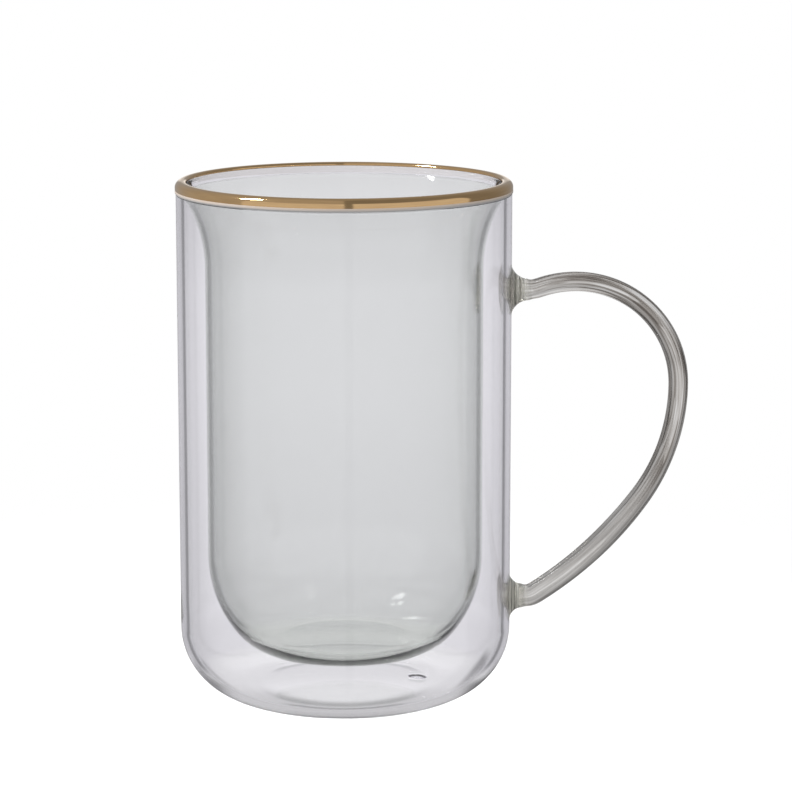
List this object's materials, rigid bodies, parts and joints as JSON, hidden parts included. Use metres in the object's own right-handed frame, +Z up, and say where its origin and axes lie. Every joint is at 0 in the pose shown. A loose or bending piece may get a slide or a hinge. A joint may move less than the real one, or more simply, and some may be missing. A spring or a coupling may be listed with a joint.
{
  "type": "double walled glass mug",
  "caption": "Tall double walled glass mug: clear outer jacket, grey tinted liner with a rounded bottom and flared top, gold band on the lip and a bent glass rod handle.",
  "frame": {"origin": "on the mug's axis, in the plane of the flat ring that it stands on", "axes": "+Z up along the mug's axis to the lip, +X from the axis towards the handle, +Y across the handle's plane"},
  "size_m": [0.1307, 0.0854, 0.1332],
  "materials": {
    "clear_glass": "clear polished",
    "grey_glass": "grey tinted polished",
    "gold": "bright fired gold"
  },
  "bodies": {
    "root": {"outer_wall": "clear_glass", "inner_cup": "grey_glass", "gold_band": "gold", "handle_rod": "clear_glass", "upper_weld": "clear_glass", "lower_weld": "clear_glass", "vent_seal": "clear_glass"}
  },
  "joints": []
}
